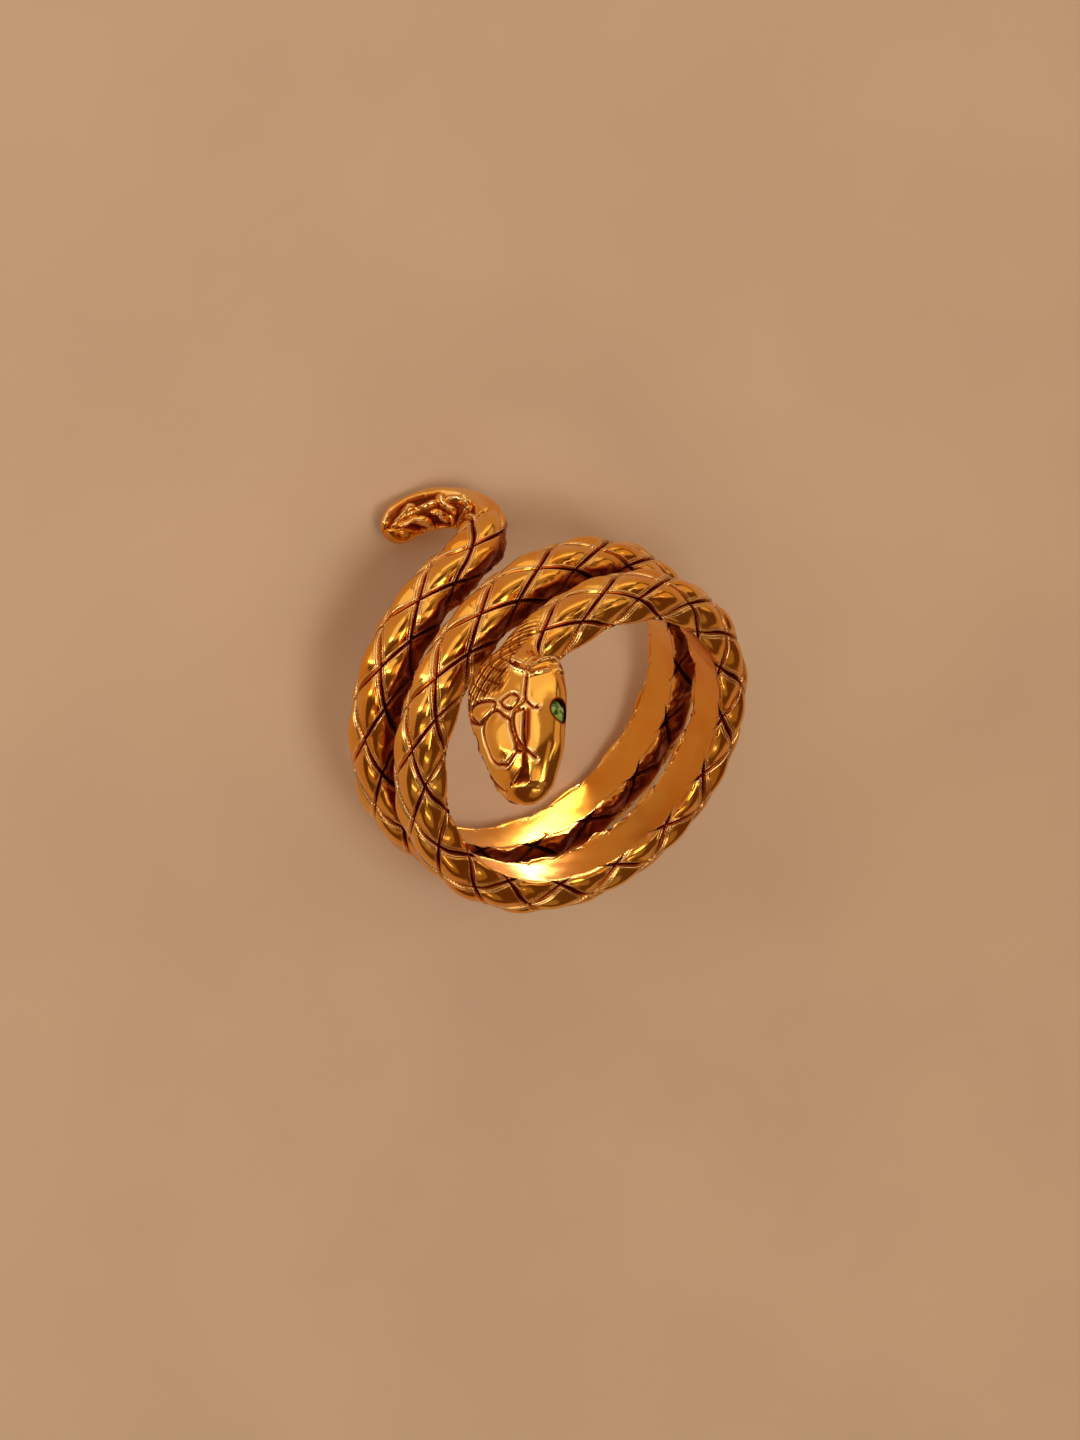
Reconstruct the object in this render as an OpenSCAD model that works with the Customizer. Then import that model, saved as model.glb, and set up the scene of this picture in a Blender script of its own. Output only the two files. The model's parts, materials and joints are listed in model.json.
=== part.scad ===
// A ring in the form of a snake that winds twice round the finger, cast in one piece, with a cut green stone for each eye.
// It lies on its side as it would on a table: on the tail's hook and the lowest coil, with the head uppermost.

/* [Finger] */
// Inside diameter of the ring
finger_d = 17.2; // [15:0.1:22]

/* [Coils] */
// Width of the body along the finger
body_w = 3.0; // [2.4:0.1:3.5]
// Thickness of the body, from the finger outwards
body_h = 2.25; // [2:0.05:2.6]
// Height of the body's whole oval, before its inside is cut to the finger
oval_h = 2.9; // [2.7:0.1:3.4]
// Rise of the coils in one turn
coil_pitch = 4.34; // [4.1:0.02:5.6]
// Turns between the tail's hook and the neck
turns = 1.97; // [1.8:0.01:2.1]

/* [Tail] */
// Distance that the hook reaches along the finger
tail_reach = 6.0; // [5:0.1:8]
// Distance that the hook runs on round the finger
tail_run = 4.7; // [4:0.1:6]
// Width of the tail near its tip
tail_w = 2.1; // [1.8:0.1:2.6]
// Length over which the tail thins
taper_l = 16; // [10:1:24]

/* [Neck and head] */
// Distance that the neck and head reach along the finger
head_reach = 7.3; // [6.5:0.1:9]
// Distance that the neck and head run on round the finger
head_run = 8.6; // [8:0.1:10]
// Length of the head
head_l = 8.8; // [8:0.1:9.5]
// Width of the head
head_w = 5.8; // [4.8:0.1:6.2]
// Thickness of the head
head_h = 3.1; // [2.8:0.1:3.4]
// Height of the head's crown above the finger
crown_h = 3.3; // [3:0.1:3.6]
// Rise of the plates on the head
plate_rise = 0.14; // [0.06:0.02:0.2]
// Depth of the mouth's line
mouth_depth = 0.16; // [0.06:0.02:0.2]
// Roll of the head about its own length
head_roll = 10; // [0:1:30]

/* [Scales] */
// Length of a scale
scale_l = 3.85; // [2.8:0.05:5]
// Depth of the grooves between the scales
groove_depth = 0.2; // [0.08:0.02:0.26]
// Rise of a scale's middle over its shoulders
pillow = 0.05; // [0:0.01:0.1]

/* [Eyes] */
// Diameter of an eye's stone
stone_d = 1.2; // [0.9:0.05:1.3]
// Clear gap between a stone and its socket
stone_gap = 0.05; // [0.03:0.01:0.1]
// Distance of the eyes from the snout
eye_back = 4.25; // [3.8:0.05:5]
// Angle of the eyes above the sides of the head
eye_angle = 6; // [0:1:36]

/* [Hidden] */
GOLD = "goldenrod";
GREEN = "seagreen";

squareness = 2.3;                              // 2 would make every section a plain oval
scale_steps = 6;                               // corners from one side of a scale to the other
corner_angle = 90 / scale_steps;               // four scales go round the body
first_angle = -3.5 * corner_angle;
body_angles = [for (j = [0:19]) first_angle + j * corner_angle, 270];
around = len(body_angles);
finger_r = finger_d / 2;
track_r = finger_r + body_h - oval_h / 2;      // radius of the coils' middle line
start_angle = 116;                             // where the tail's hook leaves the coil
coil_run = 2 * PI * track_r * turns;
coil_rise = coil_pitch * turns;
bore_l = 60;                                   // longer than the whole ring, so that the finger passes right through

// The middle line, unrolled off the finger: run round the finger and reach along it, as shares of the named sizes
TAIL_ROUTE = [ // from the tip: share of tail_run, share of tail_reach
    [0.00, 1.03],
    [0.17, 0.99],
    [0.36, 0.97],
    [0.59, 0.93],
    [0.78, 0.86],
    [0.93, 0.76],
    [1.00, 0.62],
    [0.98, 0.46],
    [0.86, 0.30],
    [0.68, 0.17],
    [0.46, 0.07],
    [0.22, 0.01]
];
HEAD_ROUTE = [ // towards the snout: share of head_run, share of head_reach
    [0.15, 0.01],
    [0.29, 0.04],
    [0.41, 0.13],
    [0.52, 0.31],
    [0.64, 0.52],
    [0.76, 0.70],
    [0.88, 0.85],
    [1.00, 1.00]
];
coil_marks = 16;
route = concat(
    [for (p = TAIL_ROUTE) [-p[0] * tail_run, -p[1] * tail_reach]],
    [for (k = [0:coil_marks]) [coil_run, coil_rise] * k / coil_marks],
    [for (p = HEAD_ROUTE) [coil_run + p[0] * head_run, coil_rise + p[1] * head_reach]]
);

// A smooth curve through all the points of the route
curve_steps = 12;
function smooth(p, k, t) =
    let (a = p[max(0, k - 1)], b = p[k], c = p[k + 1], d = p[min(len(p) - 1, k + 2)])
    b + (c - a) * t / 2 + (2 * a - 5 * b + 4 * c - d) * t * t / 2 + (3 * b - a - 3 * c + d) * t * t * t / 2;
last_mark = len(route) - 1;
curve = concat(
    [for (k = [0:last_mark - 1], t = [0:curve_steps - 1]) smooth(route, k, t / curve_steps)],
    [route[last_mark]]
);
distance = [for (k = 0, s = 0; k < len(curve); s = s + norm(curve[min(k + 1, len(curve) - 1)] - curve[k]), k = k + 1) s];
length = distance[len(distance) - 1];
run_at = [for (k = [0:len(curve) - 1]) [distance[k], curve[k][0]]];
reach_at = [for (k = [0:len(curve) - 1]) [distance[k], curve[k][1]]];

// Places and directions on the finger, at a distance s along the snake from the tip of its tail
function unit(v) = v / norm(v);
function angle_at(s) = start_angle + lookup(s, run_at) / track_r * 180 / PI;
function out_at(s) = [cos(angle_at(s)), sin(angle_at(s)), 0];
function track_at(s) = track_r * out_at(s) + [0, 0, lookup(s, reach_at) - coil_rise / 2];
function ahead_at(s) = unit(track_at(min(length, s + 0.05)) - track_at(max(0, s - 0.05)));

// Sizes of the section at a distance s
HEAD_FORM = [ // distance back from the snout / head_l, then shares of head_w, head_h and crown_h
    [0.00, 0.34, 0.44, 0.70],
    [0.06, 0.46, 0.58, 0.76],
    [0.15, 0.63, 0.72, 0.84],
    [0.28, 0.80, 0.85, 0.91],
    [0.46, 0.91, 0.95, 0.97],
    [0.64, 1.00, 1.00, 1.00],
    [0.80, 0.97, 0.99, 1.00],
    [0.92, 0.80, 0.90, 0.93],
    [1.04, 0.62, 0.88, 0.80]
];
function head_column(k) = [for (row = HEAD_FORM) [row[0] * head_l, row[k]]];
head_width = head_column(1);
head_height = head_column(2);
head_crown = head_column(3);
function ease(t) = let (u = max(0, min(1, t))) u * u * (3 - 2 * u);
function mix(a, b, t) = a + (b - a) * t;
function headness(s) = ease((s - (length - head_l * 1.12)) / (head_l * 0.25));
function width_at(s) = mix(mix(tail_w, body_w, ease(s / taper_l)), head_w * lookup(length - s, head_width), headness(s));
function height_at(s) = mix(mix(tail_w, oval_h, ease(s / taper_l)), head_h * lookup(length - s, head_height), headness(s));
tail_h = body_h - (oval_h - tail_w) / 2;
function crown_at(s) = mix(mix(tail_h, body_h, ease(s / taper_l)), crown_h * lookup(length - s, head_crown), headness(s));

// Share of the section that is left near a rounded end
tip_l = 1.1;
nose_l = 0.8;
function dome(d, l) = d >= l ? 1 : sqrt(max(0, 1 - pow(1 - d / l, 2)));
function end_share(s) = dome(s, tip_l) * dome(length - s, nose_l);

// The frame of a section: its middle, its direction across the snake and its direction up to the crown
function middle_at(s) = track_at(s) + out_at(s) * (finger_r + crown_at(s) - height_at(s) / 2 - track_r);
function across_at(s) =
    let (side = unit(cross(out_at(s), ahead_at(s))), up = cross(ahead_at(s), side), roll = head_roll * headness(s))
    side * cos(roll) - up * sin(roll);
function up_at(s) = cross(ahead_at(s), across_at(s));
function bulge(x) = sign(x) * pow(abs(x), 2 / squareness);
function skin_point(s, f, lift) =
    let (share = end_share(s))
    middle_at(s)
    + across_at(s) * (width_at(s) / 2 * share + lift) * bulge(cos(f))
    + up_at(s) * (height_at(s) / 2 * share + lift) * bulge(sin(f));

// Scales on the body: grooves run both ways round it, a corner wide, and leave a raised scale in each cell
neck_s = length - head_l;
body_rings = floor((neck_s - 0.12) / (scale_l / scale_steps));
body_step = (neck_s - 0.12) / body_rings;
function body_s(i) = 0.12 + i * body_step;
scale_phase = 5;
function steps_off(k) = let (m = (k + 10 * scale_steps) % scale_steps) min(m, scale_steps - m);
function scale_lift(i, j) =
    let (steps = min(steps_off(i - j - 1), steps_off(i + j + 1)))
    j == around - 1 ? 0 : steps == 0 ? -groove_depth : pillow * (steps - 1);
function body_section(i) =
    let (s = body_s(i), strength = ease(s / 2.5) * ease((neck_s - s) / 1.5))
    [for (j = [0:around - 1]) skin_point(s, body_angles[j], scale_lift(i + scale_phase, j) * strength)];

// Plates on the head
head_angles = [for (j = [0:around - 1]) let (next = j < around - 1 ? body_angles[j + 1] : 360 + first_angle)
    each [body_angles[j], (body_angles[j] + next) / 2]];
head_around = len(head_angles);
head_rings = 30;
function head_s(i) = neck_s + (i + 1) * (head_l - 0.06) / head_rings;
PLATES = [ // raised ovals: middle across / head_w, middle back from the snout / head_l, half widths / the same two, turn
    [-0.125, 0.41, 0.145, 0.150, 10],
    [0.140, 0.40, 0.045, 0.115, 4],
    [-0.240, 0.60, 0.105, 0.070, 20],
    [0.055, 0.60, 0.095, 0.050, 0],
    [0.100, 0.73, 0.085, 0.060, 0],
    [0.330, 0.79, 0.140, 0.050, 8]
];
MOUTH = [0.10, 0.62];                          // shares of head_l between which the mouth's line runs
mouth_angle = corner_angle / 2;                // how far that line lies below the sides of the head
function plate_lift(across, back) =
    max([for (p = PLATES)
        let (x = across - p[0] * head_w, y = back - p[1] * head_l,
             r = norm([(x * cos(p[4]) - y * sin(p[4])) / (p[2] * head_w), (y * cos(p[4]) + x * sin(p[4])) / (p[3] * head_l)]))
        1 - ease((r - 0.75) / 0.4)]);
function is_mouth(f, back) =
    (f == -mouth_angle || f == 180 + mouth_angle) && back > MOUTH[0] * head_l && back < MOUTH[1] * head_l;
function head_lift(s, f) =
    let (back = length - s, across = width_at(s) / 2 * bulge(cos(f)))
    is_mouth(f, back) ? -mouth_depth : f > 0 && f < 180 ? plate_rise * plate_lift(across, back) : 0;
function head_section(i) =
    let (s = head_s(i))
    [for (f = head_angles) skin_point(s, f, head_lift(s, f))];

skin_points = concat(
    [skin_point(0, 0, 0)],
    [for (i = [0:body_rings]) each body_section(i)],
    [for (i = [0:head_rings - 1]) each head_section(i)],
    [skin_point(length, 0, 0)]
);
head_start = 1 + (body_rings + 1) * around;
snout = len(skin_points) - 1;
function body_corner(i, j) = 1 + i * around + j % around;
function head_corner(i, j) = head_start + i * head_around + j % head_around;
skin_faces = concat(
    [for (j = [0:around - 1]) [0, body_corner(0, j), body_corner(0, j + 1)]],
    [for (i = [0:body_rings - 1], j = [0:around - 1])
        let (a = body_corner(i, j), b = body_corner(i, j + 1), c = body_corner(i + 1, j + 1), d = body_corner(i + 1, j),
             rising = steps_off(i + scale_phase - j - 1) == 0 || (i + scale_phase + j + 2) % scale_steps != 0 && j % 2 == 0)
        each rising ? [[a, c, b], [a, d, c]] : [[a, d, b], [d, c, b]]],
    [for (j = [0:around - 1])
        let (a = body_corner(body_rings, j), b = body_corner(body_rings, j + 1), c = head_corner(0, 2 * j))
        each [[a, c, c + 1], [a, c + 1, b], [b, c + 1, head_corner(0, 2 * j + 2)]]],
    [for (i = [0:head_rings - 2], j = [0:head_around - 1])
        let (a = head_corner(i, j), b = head_corner(i, j + 1), c = head_corner(i + 1, j + 1), d = head_corner(i + 1, j))
        each [[a, d, b], [d, c, b]]],
    [for (j = [0:head_around - 1]) [snout, head_corner(head_rings - 1, j + 1), head_corner(head_rings - 1, j)]]
);

// How the ring comes to rest: its floor is the plane of three corners, found by swinging a plane round their edges
steady = 0.5;                                  // least distance of the balance point inside the three corners
outer_corners = [for (p = skin_points) if (norm([p.x, p.y]) > finger_r) p];
weights = [for (i = [0:body_rings]) width_at(body_s(i)) * height_at(body_s(i)) * body_step];
head_step = head_l / head_rings;
head_weights = [for (i = [0:head_rings - 1]) width_at(head_s(i)) * height_at(head_s(i)) * head_step];
function total(list, k = 0) = k < len(list) ? list[k] + total(list, k + 1) : 0 * list[0];
balance = (total([for (i = [0:body_rings]) middle_at(body_s(i)) * weights[i]])
    + total([for (i = [0:head_rings - 1]) middle_at(head_s(i)) * head_weights[i]]))
    / (total(weights) + total(head_weights));
function next_corner(a, up, away) =
    let (swings = [for (p = outer_corners)
            let (v = p - a, h = max(0, v * up), w = v * away) norm([h, w]) < 0.02 ? 360 : atan2(h, w)],
         least = min(swings))
    outer_corners[search(least, swings)[0]];
function upward(v) = v.z < 0 ? -v : v;
function normal_of(a, b, c) = upward(unit(cross(b - a, c - a)));
function away_from(a, b, c, up) = let (o = unit(cross(up, b - a))) o * (c - a) > 0 ? -o : o;
function margin(e, up) = (e[0] - balance) * away_from(e[0], e[1], e[2], up);
function settle(a, b, c, tries = 60) =
    let (up = normal_of(a, b, c),
         open = [for (e = [[b, c, a], [c, a, b]]) if (margin(e, up) < steady) e, if (margin([a, b, c], up) < 0) [a, b, c]])
    tries == 0 || len(open) == 0 ? up
    : let (e = open[0], away = away_from(e[0], e[1], e[2], up))
      settle(e[0], e[1], next_corner(e[0], up, away), tries - 1);
lowest = let (z = [for (p = outer_corners) p.z]) outer_corners[search(min(z), z)[0]];
second = next_corner(lowest, [0, 0, 1], [0, lowest.y > 0 ? -1 : 1, 0]);
first_up = upward(unit(cross([1, 0, 0], second - lowest)));
third = next_corner(lowest, first_up, away_from(lowest, second, lowest - (balance - lowest), first_up));
floor_up = settle(lowest, second, third);
floor_x = unit([1, 0, 0] - floor_up * floor_up.x);
floor_y = cross(floor_up, floor_x);
lying = [for (p = outer_corners) [p * floor_x, p * floor_y, p * floor_up]];
function low(k) = min([for (p = lying) p[k]]);
function high(k) = max([for (p = lying) p[k]]);
origin = [(low(0) + high(0)) / 2, (low(1) + high(1)) / 2, low(2)];
rest = [concat(floor_x, -origin.x), concat(floor_y, -origin.y), concat(floor_up, -origin.z), [0, 0, 0, 1]];

// Eye stones: each is set in a round socket, square to the skin, with its table a little below the socket's rim
stone_depth = 0.43 * stone_d;
stone_crown = 0.17 * stone_d;
stone_table = 0.56 * stone_d;
stone_girdle = 0.04 * stone_d;
girdle_below = 0.24 * stone_d;
function socket_frame(f) =
    let (s = length - eye_back,
         point = skin_point(s, f, 0),
         along = unit(skin_point(s + 0.2, f, 0) - skin_point(s - 0.2, f, 0)),
         around_skin = skin_point(s, f + 2, 0) - skin_point(s, f - 2, 0),
         out = unit(cross(along, around_skin)) * -1,
         side = cross(out, along))
    [for (k = [0:2]) [along[k], side[k], out[k], point[k]], [0, 0, 0, 1]];

module on_head(f) {
    multmatrix(rest) multmatrix(socket_frame(f)) children();
}

module socket() {
    depth = girdle_below + stone_depth + stone_gap;
    translate([0, 0, -depth]) cylinder(h = depth + stone_d, r = stone_d / 2 + stone_gap, $fn = 48);
}

module stone() {
    color(GREEN)
    translate([0, 0, -girdle_below])
    hull() {
        cylinder(h = stone_girdle, r = stone_d / 2, $fn = 16);
        rotate(360 / 32) cylinder(h = stone_crown, r = stone_table / 2, $fn = 8);
        translate([0, 0, -stone_depth]) cylinder(h = stone_depth, r1 = 0.02, r2 = stone_d / 4, $fn = 8);
    }
}

module snake() {
    color(GOLD)
    difference() {
        multmatrix(rest) difference() {
            polyhedron(skin_points, skin_faces);
            cylinder(h = bore_l, r = finger_r, center = true, $fn = 128);
        }
        on_head(eye_angle) socket();
        on_head(180 - eye_angle) socket();
    }
}

module eye_left() {
    on_head(eye_angle) stone();
}

module eye_right() {
    on_head(180 - eye_angle) stone();
}

snake();
eye_left();
eye_right();
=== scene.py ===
# %% [markdown]
# # A snake that winds twice round the finger
#
# The ring is one gold casting: a tail with a flat, crumpled hook, two coils of diamond scales, and a
# head with engraved plates and a cut green stone for each eye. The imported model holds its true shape,
# but its skin is coarse. It could be made finer with a subdivision and painted bumps, and would still
# look soft. Here the snake is swept again from the same sizes, as a mesh whose corners lie on the
# grooves, so that they stay as sharp as a graver cuts them. Then come the lines on the head, warm
# polished gold with dark metal left in the grooves, and light that shows it all.

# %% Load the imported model
import json
import math

import bpy
import numpy as np
from mathutils import Matrix, Vector


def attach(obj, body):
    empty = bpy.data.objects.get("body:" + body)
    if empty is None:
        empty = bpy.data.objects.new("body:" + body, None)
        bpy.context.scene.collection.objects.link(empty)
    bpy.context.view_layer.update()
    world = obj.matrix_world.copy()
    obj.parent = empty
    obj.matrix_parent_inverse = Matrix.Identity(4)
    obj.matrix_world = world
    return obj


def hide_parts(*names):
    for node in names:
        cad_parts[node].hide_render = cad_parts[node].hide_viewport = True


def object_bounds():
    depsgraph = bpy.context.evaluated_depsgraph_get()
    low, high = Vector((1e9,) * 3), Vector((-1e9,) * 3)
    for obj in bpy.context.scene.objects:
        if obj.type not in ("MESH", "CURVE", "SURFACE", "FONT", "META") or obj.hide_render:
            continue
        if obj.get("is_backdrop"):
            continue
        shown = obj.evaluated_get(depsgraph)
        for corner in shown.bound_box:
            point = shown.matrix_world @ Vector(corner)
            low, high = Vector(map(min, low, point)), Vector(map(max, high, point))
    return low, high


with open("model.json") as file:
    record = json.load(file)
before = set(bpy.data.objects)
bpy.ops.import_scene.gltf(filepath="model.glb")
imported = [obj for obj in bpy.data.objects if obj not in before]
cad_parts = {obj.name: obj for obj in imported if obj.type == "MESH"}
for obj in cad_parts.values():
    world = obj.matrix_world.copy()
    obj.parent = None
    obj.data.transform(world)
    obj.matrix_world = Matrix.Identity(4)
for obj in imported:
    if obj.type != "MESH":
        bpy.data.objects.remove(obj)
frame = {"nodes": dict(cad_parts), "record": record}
cad_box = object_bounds()
print("nodes in the frame:", sorted(frame["nodes"]))

# %% [markdown]
# ## The ring's own frame
#
# A coil is easiest to describe round its own axis: z along the finger, and angles round it. The ring
# lies tilted on the table. Turning the finished object would do, but then a pattern on Object
# coordinates would turn with it, so everything is worked out in the ring's frame and its points are
# placed afterwards. The finger's bore is a mount in the record, and its place and axis give the way.

# %% Find the ring's own frame from the bore
MM = 0.001
COILS_ABOVE_BORE = 2.5125 * MM  # from the middle of the bore's wall to the middle of the coils
bore = next(m for m in frame["record"]["mounts"] if m["name"] == "finger_bore")
finger_r = bore["dims"]["r_mm"] * MM

ring_z = Vector(bore["axis"]).normalized()
ring_x = Vector((0, 1, 0)).cross(ring_z).normalized()
ring_y = ring_z.cross(ring_x)
ring_middle = Vector(bore["pos_m"]) + ring_z * COILS_ABOVE_BORE
placement = Matrix((ring_x, ring_y, ring_z)).transposed().to_4x4()
placement.translation = ring_middle
print("the ring's axis is", round(math.degrees(ring_z.angle(Vector((0, 0, 1))))), "degrees off upright")

# %% [markdown]
# ## The camera
#
# In the photograph the ring stands upright and is seen from above and from one side. Two angles give
# that view of the ring. The same view is kept here, so the camera looks down on the ring where it
# lies. It could be aimed by eye until it looks right, but a ring's edges are circles, and how flat they
# look in the photograph gives the angles as numbers. The camera stands well back with a long lens, as
# a jewellery photographer's does, which keeps the head from looking larger than the coils behind it.

# %% Place the camera
VIEW_TURN = math.radians(35.30)  # round the ring, from the way the bore points
VIEW_RISE = math.radians(32.00)  # above the level of the upright ring
VIEW_DISTANCE = 730 * MM
PICTURE_WIDTH = 60.25 * MM  # what the picture's width spans at the ring
AIM_RIGHT = -0.603 * MM  # the picture's middle, from the middle of the coils
AIM_UP = 0.028 * MM

view_right = Vector((math.cos(VIEW_TURN), 0, math.sin(VIEW_TURN)))
view_back = Vector((
    -math.sin(VIEW_TURN) * math.cos(VIEW_RISE),
    math.sin(VIEW_RISE),
    math.cos(VIEW_TURN) * math.cos(VIEW_RISE),
))
turned = placement.to_3x3()
view_right, view_back = turned @ view_right, turned @ view_back
view_up = view_back.cross(view_right)


def seen_from_camera(right, up, back):
    """A point beside the ring, given as the camera sees it."""
    return ring_middle + view_right * right + view_up * up + view_back * back


camera_data = bpy.data.cameras.new("camera")
camera = bpy.data.objects.new("camera", camera_data)
bpy.context.scene.collection.objects.link(camera)
bpy.context.scene.camera = camera
camera_data.sensor_fit = "HORIZONTAL"
camera_data.lens = camera_data.sensor_width * VIEW_DISTANCE / PICTURE_WIDTH
camera_data.clip_start = 10 * MM
camera.matrix_world = Matrix((view_right, view_up, view_back)).transposed().to_4x4()
camera.location = seen_from_camera(AIM_RIGHT, AIM_UP, VIEW_DISTANCE)
print("lens", round(camera_data.lens), "mm, camera", [round(x, 3) for x in camera.location], "m")

# %% [markdown]
# ## The middle line
#
# The snake follows a line on the finger's cylinder. Unrolled, that line is flat: so much run round the
# finger, so much reach along it. Two turns are a straight slope, and a handful of points bend the
# tail's hook and the neck away from it. A curve drawn by hand round the finger would do for the look,
# but its length would change with every pull, and the scales have to fit it. A smooth curve through
# all the points gives a route whose length is known.

# %% Sizes of the body and its route
body_w, body_h, oval_h = 3.0 * MM, 2.25 * MM, 2.9 * MM
coil_pitch, turns = 4.34 * MM, 1.97
tail_w, taper_l = 2.1 * MM, 16 * MM
tail_reach, tail_run = 6.0 * MM, 4.7 * MM
head_reach, head_run = 7.3 * MM, 8.6 * MM
track_r = finger_r + body_h - oval_h / 2
START_ANGLE = math.radians(116)  # where the hook leaves the coil
COIL_MARKS = 16
TAIL_ROUTE = [  # from the tip: shares of tail_run and tail_reach
    (0.00, 1.03), (0.17, 0.99), (0.36, 0.97), (0.59, 0.93), (0.78, 0.86), (0.93, 0.76),
    (1.00, 0.62), (0.98, 0.46), (0.86, 0.30), (0.68, 0.17), (0.46, 0.07), (0.22, 0.01),
]
HEAD_ROUTE = [  # towards the snout: shares of head_run and head_reach
    (0.15, 0.01), (0.29, 0.04), (0.41, 0.13), (0.52, 0.31),
    (0.64, 0.52), (0.76, 0.70), (0.88, 0.85), (1.00, 1.00),
]


def through(points, steps):
    """A smooth curve through all the points, with so many steps between each two."""
    p = np.vstack([points[:1], points, points[-1:]])
    t = np.linspace(0, 1, steps, endpoint=False)[:, None]
    spans = [
        b + (c - a) * t / 2 + (2 * a - 5 * b + 4 * c - d) * t**2 / 2 + (3 * b - a - 3 * c + d) * t**3 / 2
        for a, b, c, d in zip(p[:-3], p[1:-2], p[2:-1], p[3:])
    ]
    return np.vstack(spans + [p[-1:]])


def lengths_along(points):
    """How far along a line of points each of them lies."""
    return np.append(0, np.cumsum(np.linalg.norm(np.diff(points, axis=0), axis=1)))


coil_run, coil_rise = 2 * math.pi * track_r * turns, coil_pitch * turns
route = np.vstack([
    [(-run * tail_run, -reach * tail_reach) for run, reach in TAIL_ROUTE],
    [(coil_run * k / COIL_MARKS, coil_rise * k / COIL_MARKS) for k in range(COIL_MARKS + 1)],
    [(coil_run + run * head_run, coil_rise + reach * head_reach) for run, reach in HEAD_ROUTE],
])
curve = through(route, steps=120)
distance = lengths_along(curve)
length = distance[-1]
print("the snake is", round(length / MM, 1), "mm long")

# %% [markdown]
# ## The section
#
# Along that line runs an oval that is a little square in the shoulders. It thins towards the tail and
# swells into the head. A bevelled curve could carry one section and a taper, but not a head that is
# wide, high and crowned by different rules, so a few functions give the size at any distance. The
# head's table is short, and its rows are joined with a soft blend: a polished head shows every kink as
# a crease in its reflections.

# %% The sizes of the section
head_l, head_w, head_h, crown_h = 8.8 * MM, 5.8 * MM, 3.1 * MM, 3.3 * MM
HEAD_ROLL = math.radians(10)
SQUARENESS = 2.3
TIP_L, NOSE_L = 1.1 * MM, 0.8 * MM
tail_h = body_h - (oval_h - tail_w) / 2
HEAD_FORM = np.array([  # back from the snout / head_l, then shares of head_w, head_h and crown_h
    (0.00, 0.34, 0.44, 0.70),
    (0.06, 0.46, 0.58, 0.76),
    (0.15, 0.63, 0.72, 0.84),
    (0.28, 0.80, 0.85, 0.91),
    (0.46, 0.91, 0.95, 0.97),
    (0.64, 1.00, 1.00, 1.00),
    (0.80, 0.97, 0.99, 1.00),
    (0.92, 0.80, 0.90, 0.93),
    (1.04, 0.62, 0.88, 0.80),
])
HEAD_STARTS, HEAD_GROWS = 1.12, 0.25  # where the head's form begins and how fast, in head lengths
print("the head's table has", len(HEAD_FORM), "sections")


# %% How the section changes along the snake
def ease(t):
    """0 below 0, 1 above 1, and a soft step between."""
    t = np.clip(t, 0, 1)
    return t * t * (3 - 2 * t)


def blend(a, b, t):
    """From a to b as t goes from 0 to 1."""
    return a + (b - a) * t


def headness(s):
    """How much of the head's form a section has."""
    return ease((s - (length - head_l * HEAD_STARTS)) / (head_l * HEAD_GROWS))


def head_share(s, column, soft=0.45 * MM, samples=9):
    """A column of the head's table at a distance s, averaged over a short stretch."""
    offsets = np.linspace(-soft, soft, samples)
    back = (length - s)[..., None] + offsets
    return np.interp(back / head_l, HEAD_FORM[:, 0], HEAD_FORM[:, column]).mean(-1)


def section_size(s):
    """Width, height and crown above the finger of the sections at s."""
    thick = ease(s / taper_l)
    width = blend(blend(tail_w, body_w, thick), head_w * head_share(s, 1), headness(s))
    height = blend(blend(tail_w, oval_h, thick), head_h * head_share(s, 2), headness(s))
    crown = blend(blend(tail_h, body_h, thick), crown_h * head_share(s, 3), headness(s))
    return width, height, crown


for name, s in {"coils": length / 2, "neck": length - head_l, "head": length - 0.64 * head_l}.items():
    wide, high, _ = (round(float(x[0]) / MM, 2) for x in section_size(np.array([s])))
    print("at the", name, "the section is", wide, "mm wide and", high, "mm high")


# %% Turn distances and angles into points
def dome(d, l):
    """Share of the section that is left at a distance d from a rounded end."""
    return np.sqrt(np.maximum(0, 1 - (1 - np.minimum(d / l, 1)) ** 2))


def unit(v):
    """Vectors of length 1."""
    return v / np.linalg.norm(v, axis=-1, keepdims=True)


def track(s):
    """The coils' middle line at a distance s, and the way out from the finger there."""
    run = np.interp(s, distance, curve[:, 0])
    reach = np.interp(s, distance, curve[:, 1])
    angle = START_ANGLE + run / track_r
    out = np.stack([np.cos(angle), np.sin(angle), np.zeros_like(s)], -1)
    return out * track_r + np.stack([np.zeros_like(s), np.zeros_like(s), reach - coil_rise / 2], -1), out


def bulge(x):
    """A cosine or sine, drawn out to the oval's square shoulders."""
    return np.sign(x) * np.abs(x) ** (2 / SQUARENESS)


def skin(s, turn):
    """Points of the smooth skin at distances s and angles turn, arrays of the same shape."""
    middle, out = track(s)
    step = 0.25 * MM
    ahead = unit(track(np.minimum(length, s + step))[0] - track(np.maximum(0, s - step))[0])
    width, height, crown = section_size(s)
    share = dome(s, TIP_L) * dome(length - s, NOSE_L)
    side = unit(np.cross(out, ahead))
    up = np.cross(ahead, side)
    roll = (HEAD_ROLL * headness(s))[..., None]
    across = side * np.cos(roll) - up * np.sin(roll)
    up = np.cross(ahead, across)
    middle = middle + out * (finger_r + crown - height / 2 - track_r)[..., None]
    wide = (width / 2 * share * bulge(np.cos(turn)))[..., None]
    high = (height / 2 * share * bulge(np.sin(turn)))[..., None]
    return middle + across * wide + up * high


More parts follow.
